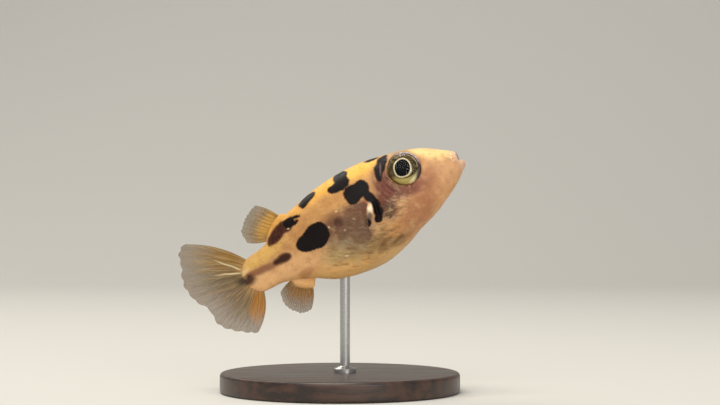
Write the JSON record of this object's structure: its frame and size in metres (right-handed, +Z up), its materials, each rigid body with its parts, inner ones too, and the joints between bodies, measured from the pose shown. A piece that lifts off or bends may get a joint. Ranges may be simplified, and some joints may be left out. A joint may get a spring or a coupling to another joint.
{
  "type": "freshwater pufferfish model",
  "caption": "Life-size still model of a small spotted freshwater pufferfish swimming nose-up, held over a round base by a slim rod.",
  "frame": {"origin": "centre of the underside of the display base, on the floor", "axes": "+Z up, +X the way the snout points, +Y to the fish's left"},
  "size_m": [0.0288, 0.024, 0.0244],
  "materials": {
    "face_skin": "moist pinkish-tan skin, bright yellow over the top of the snout, dusky red behind the eye and silvery mottling on the cheek",
    "lip_skin": "pale wet skin with a grey-brown edge round the mouth",
    "flank_skin": "golden back fading to tan-orange flanks, with rounded blackish-brown blotches and a very fine pebbled texture",
    "belly_skin": "thin silvery-olive belly skin, warmer yellow-orange along the keel",
    "fin_membrane": "translucent membrane between fine pale rays, golden near the roots and orange in the lower tail",
    "eye": "clear domed eye with a black pupil, thin pale-gold ring and dark olive iris, yellow-green below",
    "base_wood": "dark stained wood with fine grain and a satin lacquer",
    "rod_steel": "fine brushed steel"
  },
  "bodies": {
    "root": {"head": "face_skin", "upper_lip": "lip_skin", "lower_lip": "lip_skin", "trunk": "flank_skin", "belly": "belly_skin", "tail_stalk": "flank_skin", "tail_fin": "fin_membrane", "dorsal_fin": "fin_membrane", "anal_fin": "fin_membrane", "pectoral_fin_right": "fin_membrane", "pectoral_fin_left": "fin_membrane", "eye_right": "eye", "eye_left": "eye", "stand_base": "base_wood", "stand_rod": "rod_steel"}
  },
  "joints": []
}
